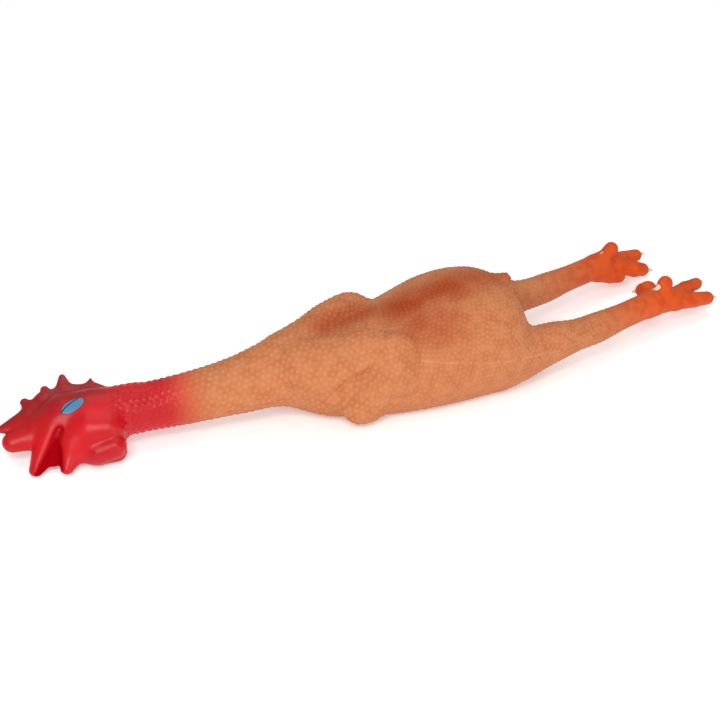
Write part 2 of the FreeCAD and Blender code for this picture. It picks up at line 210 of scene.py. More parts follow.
def skin_mesh(clay):
    """The clay's surface as (vertices, quads): a vertex per crossed cell, a quad per crossed edge."""
    inside = clay.field < 0
    cells, crossings, quads = [], [], []
    for axis in range(3):
        near = [slice(None)] * 3
        far = [slice(None)] * 3
        near[axis] = slice(0, -1)
        far[axis] = slice(1, None)
        start = np.argwhere(inside[tuple(near)] != inside[tuple(far)])
        end = start.copy()
        end[:, axis] += 1
        value_a = clay.field[tuple(start.T)]
        value_b = clay.field[tuple(end.T)]
        crossing = start.astype(float)
        crossing[:, axis] += value_a / (value_a - value_b)
        step_one, step_two = (np.eye(3, dtype=int)[k] for k in range(3) if k != axis)
        corners = (start, start - step_one, start - step_one - step_two, start - step_two)
        ring = np.stack([np.ravel_multi_index(tuple(c.T), clay.shape) for c in corners], axis=1)
        cells.append(ring.T.ravel())
        crossings.append(np.tile(crossing, (4, 1)))
        outward = (value_a < 0) != (axis == 1)
        ring[~outward] = ring[~outward][:, ::-1]
        quads.append(ring)
    used, slot_of = np.unique(np.concatenate(cells), return_inverse=True)
    crossings = np.concatenate(crossings)
    share = np.bincount(slot_of)
    sums = [np.bincount(slot_of, weights=crossings[:, k]) for k in range(3)]
    vertices = np.stack(sums, axis=1) / share[:, None]
    return vertices * clay.step + clay.low, np.searchsorted(used, np.concatenate(quads))


def vertex_normals(vertices, quads):
    corner = vertices[quads]
    face = np.cross(corner[:, 2] - corner[:, 0], corner[:, 3] - corner[:, 1])
    sums = [np.bincount(quads.ravel(), weights=np.repeat(face[:, k], 4)) for k in range(3)]
    normals = np.stack(sums, axis=1)
    return normals / np.linalg.norm(normals, axis=1)[:, None]


# ---------------------------------------------------------------- the shape of the chicken

# x, aside, half width, top, bottom
TRUNK = [
    (-78, 1.0, 28.5, 49.0, 1.0),
    (-50, 0.0, 38.0, 49.5, -5.0),
    (-20, 0.0, 44.0, 53.5, -9.0),
    (12, 0.0, 47.2, 61.8, -11.0),
    (30, 0.0, 46.4, 61.8, -11.0),
    (41, 0.0, 42.0, 59.5, -8.0),
    (49, 0.0, 34.5, 54.0, -4.0),
    (54, 0.0, 24.0, 46.0, 2.0),
    (57, 0.0, 12.0, 33.0, 9.0),
    (59, 0.0, 5.0, 27.0, 14.0),
]
LEG_RADII = {"hip": 10.6, "thigh": 9.7, "knee": 9.0, "shank": 8.1, "ankle": 8.0}
TRUNK_BOX = ((-200, -60, -6), (72, 60, 72))
THROAT = {"ahead": 30, "radius": 12.5}
TAIL_STUB = ((40, 0, 51), (51, 0, 54.5), 6.0, 3.8)
LEG_SPREAD = 1.3
LEG_REACH = 22
# how far past a joint the leg has one more section
PAST_JOINT = {"hip": 13, "knee": 15, "ankle": 8}
# how far the root of each leg leans inward and up, and how much thicker it is there
LEG_ROOT = {"left": ((0, 1.8, 0), 2.0), "right": ((0, 2.4, 2.2), 2.4)}


def round_station(point, radius):
    """A station of a loft with a round section."""
    return (point[0], point[1], radius, point[2] + radius, point[2] - radius)


def trunk_and_neck(clay):
    neck = [round_station(point - (0, 0, NECK_SAG), radius) for point, radius in zip(NECK, NECK_RADII)]
    neck.append(round_station(head.at(THROAT["ahead"], 0, 0), THROAT["radius"]))
    stations = neck + TRUNK
    clay.add(lambda grid: loft_distance(grid, stations), *TRUNK_BOX)
    clay.rod(*TAIL_STUB, blend=5)


def leg(clay, side):
    aside = SIDES[side]
    hip, knee, ankle = [joint + (0, aside * LEG_SPREAD, 0) for joint in legs[side]]
    thigh = unit(knee - hip)
    shank = unit(ankle - knee)
    lean, swell = LEG_ROOT[side]
    stations = [
        (30, aside * 25, 18, 34, 2),
        (46, aside * 28, 14 + swell, 32 + lean[2], 4),
        round_station(lean + np.array([59, aside * 29.5, 19]), 11.2 + swell),
        round_station(hip + np.array(lean) / 2, LEG_RADII["hip"] + swell / 2),
        round_station(hip + PAST_JOINT["hip"] * thigh, LEG_RADII["thigh"]),
        round_station(knee, LEG_RADII["knee"]),
        round_station(knee + PAST_JOINT["knee"] * shank, LEG_RADII["shank"]),
        round_station(ankle, LEG_RADII["ankle"]),
        round_station(ankle + PAST_JOINT["ankle"] * shank, LEG_RADII["ankle"]),
    ]
    low = (20, min(hip[1], ankle[1], aside * 25) - LEG_REACH, -4)
    high = (ankle[0] + 10, max(hip[1], ankle[1], aside * 25) + LEG_REACH, 48)
    clay.add(lambda grid: loft_distance(grid, stations), low, high, blend=8)


# Each toe: root, knuckle and the point of its claw, then the radii at root, knuckle and pad.
# Local axes of a foot: along the shank, towards the other foot, up. The last toe is the hind one.
TOES = {
    "left": [
        ((24, -2, -2), (38, -4, -3), (58, -4, -5.5), (5.4, 4.8, 4.2)),
        ((24, 2, 0), (39, 6, 0.5), (59, 10, -0.5), (5.2, 4.4, 3.9)),
        ((11, 3, 0), (12.5, 12, 3), (9.5, 23, -2.5), (6.4, 5.4, 4.8)),
        ((15, 1, 4), (17.5, 3, 10.2), (8, 3, 7.5), (4.8, 4.5, 3.7)),
    ],
    "right": [
        ((18, -1.5, -1), (30, -4, -1.5), (49, -4, -1.8), (5.4, 4.8, 4.1)),
        ((18, 3, -2), (29, 8, -4), (43, 11.5, -6.5), (5.6, 5.2, 4.4)),
        ((3, 2.6, -3), (11, 5, -5.5), (25, 9, -8.5), (6.2, 5.4, 4.6)),
        ((6, 1, 4), (13, 1, 10.8), (3, 1, 7.5), (4.8, 4.5, 3.7)),
    ],
}
PALM_RADII = (7.8, 6.4)
CLAW_LENGTH = 4.0
CLAW_SHARE = 0.66
CLAW_POINT = 0.8
# degrees: both feet turn to the bird's right and droop towards the floor
FOOT_ANGLES = {"turn": 7.0, "droop": 4.0}


def foot_place(side):
    ankle = legs[side][2] + (0, SIDES[side] * LEG_SPREAD, 0)
    yaw = math.radians(FOOT_ANGLES["turn"])
    dip = math.radians(FOOT_ANGLES["droop"])
    along = np.array([math.cos(yaw) * math.cos(dip), math.sin(yaw) * math.cos(dip), -math.sin(dip)])
    across = unit(np.cross((0, 0, 1), along))
    return Place(ankle, along, -SIDES[side] * across, np.cross(along, across))


def toe_end(knuckle, tip, pad_radius):
    """The middle of the toe's pad, and the way the claw points."""
    run = unit(np.subtract(tip, knuckle))
    return tip - (pad_radius + CLAW_LENGTH) * run, run


def foot(clay, side):
    place = foot_place(side)
    clay.rod(place.at(2, 0, 0), place.at(22, -1.0, -1.0), *PALM_RADII, blend=3)
    for root, knuckle, tip, (root_radius, knuckle_radius, pad_radius) in TOES[side]:
        pad, run = toe_end(knuckle, tip, pad_radius)
        clay.rod(place.at(*root), place.at(*knuckle), root_radius, knuckle_radius, blend=3)
        clay.rod(place.at(*knuckle), place.at(*pad), knuckle_radius, pad_radius, blend=1)
        claw_tip = tip - CLAW_POINT * run
        clay.rod(place.at(*pad), place.at(*claw_tip), CLAW_SHARE * pad_radius, CLAW_POINT, blend=0.5)


def wing(clay, aside):
    """A wing folded flat on the flank: upper arm, broad elbow, forearm, and the crease between."""
    outward = (unit((0.05, aside * 0.75, 0.66)), 2.3)
    sideways = (unit((0.05, aside * 0.97, 0.15)), 2.0)
    shoulder = (-86, aside * 13, 38.5)
    arm_end = (-52, aside * 26, 43)
    elbow = (-41, aside * 30, 36.5)
    wrist = (-58, aside * 29, 19)
    clay.rod(shoulder, arm_end, 13.2, 13.6, blend=8, thin=(outward[0], 1.6))
    clay.rod(arm_end, elbow, 15, 18.5, blend=5, thin=outward)
    clay.rod(elbow, wrist, 18, 16.5, blend=5, thin=sideways)
    clay.rod((-52, aside * 38, 43), (-75, aside * 34.5, 24.5), 3.0, 7.0, blend=5, hollow=True)


# the hollow between the two halves of the open beak: along the head, out from its middle, up
MOUTH = ((46.5, 8.8, -9.0), (55.0, 8.6, -27.0))
MOUTH_RADII = (2.4, 7.4)


def head_shape(clay):
    flat = (cheek, 1.9)
    # skull
    clay.rod(head.at(4, 0, 0), head.at(30, 0, 1), 13.0, 13.6, blend=4)
    clay.rod(head.at(28, 0, 0), head.at(42, 0, 1), 14.5, 14.0, blend=5, thin=(cheek, 1.05))
    clay.rod(head.at(42, 0, 2), head.at(56, 0, -1), 14.5, 10.0, blend=4, thin=(cheek, 1.25))
    # comb: a thick ridge with five points, the last two over the front lobe
    ridge = [(13, 7), (24, 13), (38, 15.5), (50, 13.5), (58, 8), (65, 0)]
    for a, b in zip(ridge[:-1], ridge[1:]):
        clay.rod(head.at(a[0], 0, a[1]), head.at(b[0], 0, b[1]), 7, 7, blend=3, thin=flat)
    spikes = [
        ((26, 11), (23, 22.5), 9.5, 1.2),
        ((39, 14), (38.2, 27.5), 8.0, 2.2),
        ((48, 12), (49.2, 22), 8.6, 2.6),
        ((56, 8), (61.5, 16.6), 8.8, 2.8),
        ((62, 4), (79, 3), 9.0, 1.8),
    ]
    for root, tip, root_radius, tip_radius in spikes:
        clay.rod(head.at(root[0], 0, root[1]), head.at(tip[0], 0, tip[1]), root_radius, tip_radius,
                 blend=1.5, thin=flat)
    clay.rod(head.at(56, 0, -5), head.at(72.5, 0, -6), 8.5, 6.0, blend=1.5, thin=(cheek, 1.2))
    # open beak: two halves joined by a thin web, hollowed deeply on each cheek
    clay.rod(head.at(48, 0, -3), head.at(63.5, 0, -26.5), 11.5, 4.2, blend=2.5)
    clay.rod(head.at(38, 0, -8), head.at(46.8, 0, -29.6), 11.8, 4.0, blend=2.5)
    clay.rod(head.at(44, 0, -8), head.at(53, 0, -20), 9.0, 6.0, blend=1.5, thin=(cheek, 2.5))
    for out in (-1, 1):
        start, end = (head.at(a, out * b, c) for a, b, c in MOUTH)
        clay.rod(start, end, *MOUTH_RADII, blend=1.2, hollow=True)
    # chin, ear lobes and wattles
    clay.rod(head.at(39, 0, -15), head.at(29, 0, -22), 10.0, 8.5, blend=4)
    for out in (-1, 1):
        clay.rod(head.at(30, out * 5.5, -11), head.at(20.5, out * 6, -12.5), 10.0, 9.8, blend=5)
        clay.rod(head.at(28, out * 3, -24.5), head.at(19, out * 4.5, -23.5), 6.2, 6.8, blend=1.5)


def sculpted():
    clay = Clay(GRID_LOW, GRID_HIGH, GRID_STEP)
    trunk_and_neck(clay)
    for side in SIDES:
        leg(clay, side)
        foot(clay, side)
        wing(clay, SIDES[side])
    head_shape(clay)
    # it rests on its belly: everything below the floor is pressed flat
    just_above_floor = (GRID_HIGH[0], GRID_HIGH[1], 12)
    clay.carve(lambda grid: grid[2], GRID_LOW, just_above_floor, blend=5)
    return skin_mesh(clay)


vertices, quads = sculpted()
normals = vertex_normals(vertices, quads)

# ---------------------------------------------------------------- goosebumps

BUMP_SPACING = {"rump": 2.8, "breast": 3.5}
BUMP_SPREAD = 0.52
BUMP_RISE = 0.15
# where the goosebumps fade out: along the neck, down the legs and at the floor
BUMPS_TO_HEAD = (8, 22)
BUMPS_TO_FEET = (95, 150)
BUMPS_TO_FLOOR = (0.5, 3)
# how far ahead of the middle the spacing changes from the rump's to the breast's
RUMP_TO_BREAST = (10, 90)
FAINTEST_BUMP = 0.02


def smooth_step(x, low, high):
    """0 up to low, 1 from high on, smooth between."""
    t = np.clip((x - low) / (high - low), 0, 1)
    return t * t * (3 - 2 * t)


def goosebump_centres(points, wanted, spacing):
    """Points at least one spacing apart, taken in order along the body so that they fall in rows."""
    chosen = np.flatnonzero(wanted)
    chosen = chosen[np.argsort(points[chosen, 0], kind="stable")]
    tree = KDTree(len(chosen))
    for row, index in enumerate(chosen):
        tree.insert(points[index], row)
    tree.balance()
    free = np.ones(len(chosen), bool)
    centres = []
    for row, index in enumerate(chosen):
        if free[row]:
            centres.append(index)
            for _, other, _ in tree.find_range(points[index], spacing[index]):
                free[other] = False
    return np.array(centres)


def dome_height(points, centres, radius):
    """1 on top of a goosebump, 0 between them."""
    tree = KDTree(len(centres))
    for index, centre in enumerate(centres):
        tree.insert(points[centre], index)
    tree.balance()
    away = np.array([tree.find(point)[2] for point in points])
    return np.clip(1 - (away / radius) ** 2, 0, 1) ** 2


along_neck = (vertices - NECK[3]) @ crown
bumpy = 1 - smooth_step(along_neck, *BUMPS_TO_HEAD)
bumpy = bumpy * (1 - smooth_step(vertices[:, 0], *BUMPS_TO_FEET))
bumpy = bumpy * smooth_step(vertices[:, 2], *BUMPS_TO_FLOOR)
forward = smooth_step(-vertices[:, 0], *RUMP_TO_BREAST)
spacing = BUMP_SPACING["rump"] + (BUMP_SPACING["breast"] - BUMP_SPACING["rump"]) * forward
centres = goosebump_centres(vertices, bumpy > FAINTEST_BUMP, spacing)
dome = dome_height(vertices, centres, BUMP_SPREAD * spacing) * bumpy
vertices = vertices + normals * (dome * BUMP_RISE * spacing)[:, None]
normals = vertex_normals(vertices, quads)

# ---------------------------------------------------------------- what the paint needs to know

# the eye is painted on the cheek; its slit runs from the front corner up to the rim
EYE_CENTRE = (36.8, 1.8)
EYE_HALF_LENGTH = 7.0
EYE_HALF_WIDTH = 3.5
EYE_TILT = math.radians(21)
SLIT_START = (43.1, -0.2)
SLIT_END = (34.9, 5.0)
SLIT_BOW = 0.5
CHEEK_OUT = 6
CHEEK_AHEAD = 20
NOT_EYE = 9.0
NOT_CLAW = -9.0

in_head = head.seen(vertices)
eye_u = in_head[:, 0] - EYE_CENTRE[0]
eye_w = in_head[:, 2] - EYE_CENTRE[1]
eye_long = (eye_u * math.cos(EYE_TILT) - eye_w * math.sin(EYE_TILT)) / EYE_HALF_LENGTH
eye_wide = (eye_u * math.sin(EYE_TILT) + eye_w * math.cos(EYE_TILT)) / EYE_HALF_WIDTH
on_cheek = (np.abs(in_head[:, 1]) > CHEEK_OUT) & (in_head[:, 0] > CHEEK_AHEAD)
eye = np.where(on_cheek, np.hypot(eye_long, eye_wide), NOT_EYE)

# painted shade on the top of the head, which is painted darker red where less of the front light falls;
# comb is its grey-streaked ridge
painted_top_shade = smooth_step(in_head[:, 2], -5, 10) * smooth_step(in_head[:, 0], 10, 28)
comb = smooth_step(in_head[:, 2], 10, 15) * (1 - smooth_step(in_head[:, 0], 48, 56))
comb = comb * smooth_step(in_head[:, 0], 8, 16)

# mouth is how deep a point is inside the hollow of the beak, which is painted dark red: partly the mouth's
# own dark colour, partly painted shade of the deep hollow
MOUTH_OVERRUN = 1.4
MOUTH_HALF_WIDTH = 7.5
mouth_root = np.array(MOUTH[0])[[0, 2]]
mouth_run = np.array(MOUTH[1])[[0, 2]] - mouth_root
from_root = in_head[:, [0, 2]] - mouth_root
down_mouth = np.clip(from_root @ mouth_run / (mouth_run @ mouth_run), 0, MOUTH_OVERRUN)
off_mouth = np.linalg.norm(from_root - down_mouth[:, None] * mouth_run, axis=1)
mouth_reach = MOUTH_RADII[0] + (MOUTH_RADII[1] - MOUTH_RADII[0]) * down_mouth
mouth = np.minimum(mouth_reach - off_mouth, MOUTH_HALF_WIDTH - np.abs(in_head[:, 1]))

slit_run = np.subtract(SLIT_END, SLIT_START)
slit_length = np.linalg.norm(slit_run)
slit_ahead = unit(slit_run)
from_start = in_head[:, [0, 2]] - SLIT_START
slit_along = from_start @ slit_ahead / slit_length
slit_across = from_start @ (-slit_ahead[1], slit_ahead[0])
slit = np.abs(slit_across + SLIT_BOW * 4 * slit_along * (1 - slit_along))

# claw is above 0 from near the end of each toe's pad to the claw's point
CLAW_SLACK = 0.6
CLAW_START = 0.8
claw = np.full(len(vertices), NOT_CLAW)
for side in SIDES:
    local = foot_place(side).seen(vertices)
    for _, knuckle, tip, (_, _, pad_radius) in TOES[side]:
        pad, run = toe_end(knuckle, tip, pad_radius)
        ahead = (local - pad) @ run
        aside = np.linalg.norm(local - pad - ahead[:, None] * run, axis=1)
        width = np.interp(ahead, (0, pad_radius + CLAW_LENGTH), (CLAW_SHARE * pad_radius, CLAW_POINT))
        within = np.minimum(ahead - CLAW_START * pad_radius, width + CLAW_SLACK - aside)
        reach = ahead < 2 * (pad_radius + CLAW_LENGTH)
        claw = np.where(reach, np.maximum(claw, within), claw)

# the mould's parting line runs along each flank and dips towards the leg
SEAM_RISE = 33.0
SEAM_SLOPE = -0.18
SEAM_ENDS = (-26, 66)
FOOT_PAINT = (85, 165)
off_seam = np.abs(vertices[:, 2] - SEAM_RISE - SEAM_SLOPE * vertices[:, 0])
beyond_seam = np.maximum(SEAM_ENDS[0] - vertices[:, 0], vertices[:, 0] - SEAM_ENDS[1])
seam = np.maximum(off_seam, beyond_seam)

point_values = {
    "seam": seam,
    "dome": dome,
    "claw": claw,
    "foot": smooth_step(vertices[:, 0], *FOOT_PAINT),
    "neck_red": along_neck,
    "eye": eye,
    "slit": slit,
    "mouth": mouth,
    "painted_top_shade": painted_top_shade,
    "comb": comb,
}


# ---------------------------------------------------------------- materials


class Shader:
    """A small helper for writing node materials."""

    def __init__(self, name):
        self.material = bpy.data.materials.new(name)
        self.material.use_nodes = True
        self.nodes = self.material.node_tree.nodes
        self.links = self.material.node_tree.links
        self.surface = self.nodes["Principled BSDF"]

    def put(self, socket, value):
        if isinstance(value, bpy.types.NodeSocket):
            self.links.new(value, socket)
        else:
            socket.default_value = value

    def attribute(self, name, output="Fac"):
        node = self.nodes.new("ShaderNodeAttribute")
        node.attribute_name = name
        return node.outputs[output]

    def math(self, operation, a, b=0.0):
        node = self.nodes.new("ShaderNodeMath")
        node.operation = operation
        self.put(node.inputs[0], a)
        self.put(node.inputs[1], b)
        return node.outputs[0]

    def vector(self, operation, a, b=(0.0, 0.0, 0.0)):
        node = self.nodes.new("ShaderNodeVectorMath")
        node.operation = operation
        self.put(node.inputs[0], a)
        self.put(node.inputs[1], b)
        return node.outputs["Vector" if operation == "SUBTRACT" else "Value"]

    def ramp(self, value, low, high):
        """0 at low, 1 at high, smooth between. low may be the larger."""
        node = self.nodes.new("ShaderNodeMapRange")
        node.interpolation_type = "SMOOTHSTEP"
        self.put(node.inputs["Value"], value)
        self.put(node.inputs["From Min"], low)
        self.put(node.inputs["From Max"], high)
        return node.outputs["Result"]

    def noise(self, size, detail=3.0, place=None):
        """Noise with features about size millimetres across."""
        node = self.nodes.new("ShaderNodeTexNoise")
        node.inputs["Scale"].default_value = 1 / size
        node.inputs["Detail"].default_value = detail
        self.links.new(place or self.attribute("rest", "Vector"), node.inputs["Vector"])
        return node.outputs["Fac"]

    def mix(self, factor, a, b):
        node = self.nodes.new("ShaderNodeMix")
        node.data_type = "RGBA"
        self.put(node.inputs["Factor"], factor)
        self.put(node.inputs["A"], a)
        self.put(node.inputs["B"], b)
        return node.outputs["Result"]

    def sprayed_along(self, start, end, reach):
        """1 on the line between two points of the resting body, fading to 0 at reach."""
        middle = (Vector(start) + Vector(end)) / 2
        run = Vector(end) - Vector(start)
        from_middle = self.vector("SUBTRACT", self.attribute("rest", "Vector"), middle)
        along = self.vector("DOT_PRODUCT", from_middle, run.normalized())
        off_middle = self.math("ABSOLUTE", along)
        beyond = self.math("MAXIMUM", self.math("SUBTRACT", off_middle, run.length / 2), 0.0)
        away = self.vector("LENGTH", from_middle)
        aside = self.math("SUBTRACT", self.math("POWER", away, 2.0), self.math("POWER", along, 2.0))
        distance = self.math("SQRT", self.math("ADD", aside, self.math("POWER", beyond, 2.0)))
        return self.ramp(distance, reach, 0.0)

    def bump(self, height, depth):
        node = self.nodes.new("ShaderNodeBump")
        node.inputs["Distance"].default_value = depth * MM
        self.links.new(height, node.inputs["Height"])
        self.links.new(node.outputs["Normal"], self.surface.inputs["Normal"])


def colour(red, green, blue):
    """A screen colour (0 to 255) as the linear colour a shader wants."""
    def linear(value):
        value = value / 255
        return value / 12.92 if value < 0.04045 else ((value + 0.055) / 1.055) ** 2.4
    return (linear(red), linear(green), linear(blue), 1.0)


TAN = colour(188, 118, 75)
TAN_DEEP = colour(177, 102, 60)
# painted highlight: the tops of the goosebumps are painted paler, as if lit
TAN_DOME_HIGHLIGHT = colour(203, 134, 91)
SPRAY = colour(154, 54, 8)
# painted highlight: the paler tops of the goosebumps where the orange is sprayed
SPRAY_DOME_HIGHLIGHT = colour(177, 76, 18)
FOOT_ORANGE = colour(208, 76, 10)
FOOT_DEEP = colour(192, 62, 8)
RED = colour(202, 10, 22)
RED_DEEP = colour(176, 6, 16)
# painted shade: the darker red painted on the top of the head
RED_TOP_SHADE = colour(150, 8, 16)
COMB_GREY = colour(140, 62, 60)
# the mouth's own dark red, made darker as painted shade of the deep hollow
MOUTH_RED_AND_SHADE = colour(150, 4, 14)
CLAW = colour(212, 200, 184)
EYE_BLUE = colour(70, 120, 160)
EYE_GREY = colour(112, 120, 130)
EYE_BLACK = colour(14, 14, 18)
SEAM_PALE = colour(206, 144, 102)
# painted shade: the dark inside of the small vent hole, which is not modelled
VENT_HOLE_SHADE = colour(120, 56, 28)


# two ends of a line on the resting body, and how far the paint reaches from it
MAIN_SPRAY = ((-20, 0, 54), (10, -4, 61), 25.0)
# painted shade: a dark dot standing for the shade inside the vent hole
VENT = ((50, -42, 22), (50.5, -42, 22), 1.6)
# the same, with the strength of each
FAINTER_SPRAYS = [
    ((-14, -20, 50), (-8, -24, 50), 26.0, 0.75),
    ((10, -4, 61), (40, 0, 58), 22.0, 0.7),
    ((-66, 7, 48), (-36, 10, 50), 17.0, 0.72),
    ((44, 0, 55), (54, 0, 55), 9.0, 1.0),
]
# sizes of the blotches and grain in the rubber
BLOTCH = {"broad": 38.0, "mottle": 6.0, "fine": 0.5, "streak": 1.5, "lump": 9.0}
# where tan turns red along the neck, and how far the edge wanders
RED_EDGE = (-42.0, -12.0)
RED_WANDER = 10.0
# dull where it is bare rubber, shinier where it is painted red
ROUGHNESS = {"bare": 0.58, "red": 0.40, "uneven": 0.12}
GLINT = {"bare": 0.2, "red": 0.3}
LUMP_DEPTH = 0.5


def skin_material(name):
    """Moulded latex: tan with sprayed orange and red, told apart by the values on the mesh."""
    shader = Shader(name)
    broad = shader.noise(BLOTCH["broad"], 2.0)
    mottle = shader.noise(BLOTCH["mottle"], 4.0)
    fine = shader.noise(BLOTCH["fine"], 2.0)
    dome = shader.attribute("dome")

    tan = shader.mix(shader.ramp(mottle, 0.3, 0.7), TAN_DEEP, TAN)
    # painted highlight: the tops of the goosebumps are painted paler
    tan = shader.mix(shader.math("MULTIPLY", dome, 0.5), tan, TAN_DOME_HIGHLIGHT)

    spray = shader.sprayed_along(*MAIN_SPRAY)
    for start, end, reach, strength in FAINTER_SPRAYS:
        faint = shader.math("MULTIPLY", shader.sprayed_along(start, end, reach), strength)
        spray = shader.math("MAXIMUM", spray, faint)
    spray = shader.math("MULTIPLY", spray, shader.ramp(broad, 0.1, 0.45))
    # painted highlight: the tops of the goosebumps are painted paler in the sprayed orange too
    sprayed = shader.mix(shader.math("MULTIPLY", dome, 0.7), SPRAY, SPRAY_DOME_HIGHLIGHT)
    body = shader.mix(spray, tan, sprayed)

    seam = shader.math("MULTIPLY", shader.ramp(shader.attribute("seam"), 0.7, 0.2), 0.5)
    body = shader.mix(shader.math("MULTIPLY", seam, shader.ramp(mottle, 0.35, 0.6)), body, SEAM_PALE)
    # painted shade: a dark dot where the vent hole is, the hole itself not modelled
    body = shader.mix(shader.sprayed_along(*VENT), body, VENT_HOLE_SHADE)

    foot_paint = shader.mix(shader.ramp(mottle, 0.3, 0.6), FOOT_DEEP, FOOT_ORANGE)
    body = shader.mix(shader.math("MULTIPLY", shader.attribute("foot"), 0.95), body, foot_paint)

    wander = shader.math("MULTIPLY", shader.math("SUBTRACT", mottle, 0.5), RED_WANDER)
    red_edge = shader.math("ADD", shader.attribute("neck_red"), wander)
    redness = shader.ramp(red_edge, *RED_EDGE)
    red = shader.mix(shader.ramp(broad, 0.35, 0.7), RED_DEEP, RED)
    # the top of the head is painted darker red as shade
    red = shader.mix(shader.attribute("painted_top_shade"), red, RED_TOP_SHADE)
    streak = shader.ramp(shader.noise(BLOTCH["streak"]), 0.4, 0.7)
    streaks = shader.math("MULTIPLY", shader.attribute("comb"), streak)
    red = shader.mix(shader.math("MULTIPLY", streaks, 0.6), red, COMB_GREY)
    body = shader.mix(redness, body, red)
    # the hollow of the beak is painted dark red, partly its own colour and partly painted shade
    in_mouth = shader.ramp(shader.attribute("mouth"), -0.5, 2.0)
    body = shader.mix(in_mouth, body, MOUTH_RED_AND_SHADE)

    clawed = shader.ramp(shader.attribute("claw"), 0.0, 0.4)
    body = shader.mix(clawed, body, CLAW)

    eye = shader.attribute("eye")
    body = shader.mix(shader.ramp(eye, 1.1, 1.02), body, EYE_BLACK)
    body = shader.mix(shader.ramp(eye, 1.02, 0.96), body, EYE_GREY)
    body = shader.mix(shader.ramp(eye, 0.92, 0.82), body, EYE_BLUE)
    slit = shader.ramp(shader.attribute("slit"), 0.5, 0.25)
    body = shader.mix(shader.math("MULTIPLY", slit, shader.ramp(eye, 1.0, 0.95)), body, EYE_BLACK)

    shader.put(shader.surface.inputs["Base Color"], body)
    shine = shader.ramp(redness, 0.2, 1.0)
    smoother = shader.math("MULTIPLY", shine, ROUGHNESS["bare"] - ROUGHNESS["red"])
    rough = shader.math("SUBTRACT", ROUGHNESS["bare"], smoother)
    uneven = shader.math("MULTIPLY", shader.math("SUBTRACT", mottle, 0.5), ROUGHNESS["uneven"])
    shader.put(shader.surface.inputs["Roughness"], shader.math("ADD", rough, uneven))
    glint = shader.math("MULTIPLY", shine, GLINT["red"] - GLINT["bare"])
    glint = shader.math("ADD", GLINT["bare"], glint)
    glint = shader.math("MULTIPLY", glint, shader.math("SUBTRACT", 1.0, in_mouth))
    shader.put(shader.surface.inputs["Specular IOR Level"], glint)
    lumps = shader.math("ADD", shader.math("MULTIPLY", fine, 0.1), shader.noise(BLOTCH["lump"], 1.0))
    shader.bump(lumps, LUMP_DEPTH)
    return shader.material


body_latex = skin_material("body_latex")
red_latex = skin_material("painted_red_latex")
foot_latex = skin_material("foot_latex")


def plain_material(name, base, other, size, roughness, metallic=0.0):
    """For the pieces hidden inside: two tones of noise with a fine bump."""
    shader = Shader(name)
    coordinates = shader.nodes.new("ShaderNodeTexCoord").outputs["Object"]
    grain = shader.noise(size * MM, 4.0, coordinates)
    tone = shader.mix(shader.ramp(grain, 0.35, 0.65), base, other)
    shader.put(shader.surface.inputs["Base Color"], tone)
    shader.surface.inputs["Roughness"].default_value = roughness
    shader.surface.inputs["Metallic"].default_value = metallic
    shader.bump(grain, 0.2)
    return shader.material


HIDDEN_LOOKS = {
    "plug": plain_material("plug_rubber", colour(190, 112, 66), colour(204, 130, 84), 2.0, 0.55),
    "reed": plain_material("reed_strip", colour(200, 200, 196), colour(176, 176, 170), 1.0, 0.3),
    "bellows": plain_material("bellows_rubber", colour(232, 226, 214), colour(214, 206, 192), 2.0, 0.5),
    "squeaker": plain_material("squeaker_plastic", colour(240, 240, 236), colour(226, 226, 220), 3.0, 0.35),
}
for name, node in frame["nodes"].items():
    kind = next((word for word in HIDDEN_LOOKS if word in name), None)
    if kind:
        node.data.materials.clear()
        node.data.materials.append(HIDDEN_LOOKS[kind])


# ---------------------------------------------------------------- pieces

NECK_CUT_X = -82
LEG_CUT_X = 62
LEG_ROOT_DEPTH = 2


def past_middle(points, a, b):
    """Which points are nearer b than a, going along the line between them."""
    return (points - (a + b) / 2) @ (b - a) > 0


def joined_faces(start, allowed):
    """The allowed faces that are joined to the start faces, one ring of faces after another."""
    touched = np.zeros(len(vertices), bool)
    joined = start
    count = 0
    while joined.sum() > count:
        count = joined.sum()
        touched[quads[joined]] = True
        joined = allowed & touched[quads].any(axis=1)
    return joined


face_centre = vertices[quads].mean(axis=1)
in_neck = face_centre[:, 0] < NECK_CUT_X
in_legs = face_centre[:, 0] > LEG_CUT_X
piece_of_face = np.full(len(quads), "torso_rubber", dtype=object)
piece_of_face[in_neck] = "neck_root_rubber"
neck_pieces = ("neck_middle_rubber", "neck_top_rubber", "head_rubber")
for piece, a, b in zip(neck_pieces, NECK[:-1], NECK[1:]):
    piece_of_face[in_neck & past_middle(face_centre, a, b)] = piece
for side in SIDES:
    # a toe can reach across the middle, so a leg is followed down from its root
    own_side = face_centre[:, 1] * SIDES[side] > 0
    root = in_legs & own_side & (face_centre[:, 0] < LEG_CUT_X + LEG_ROOT_DEPTH)
    own_leg = joined_faces(root, in_legs)
    hip, knee, ankle = legs[side]
    piece_of_face[own_leg] = side + "_hip_rubber"
    for piece, a, b in ((side + "_knee_rubber", hip, knee), (side + "_foot_rubber", knee, ankle)):
        piece_of_face[own_leg & past_middle(face_centre, a, b)] = piece


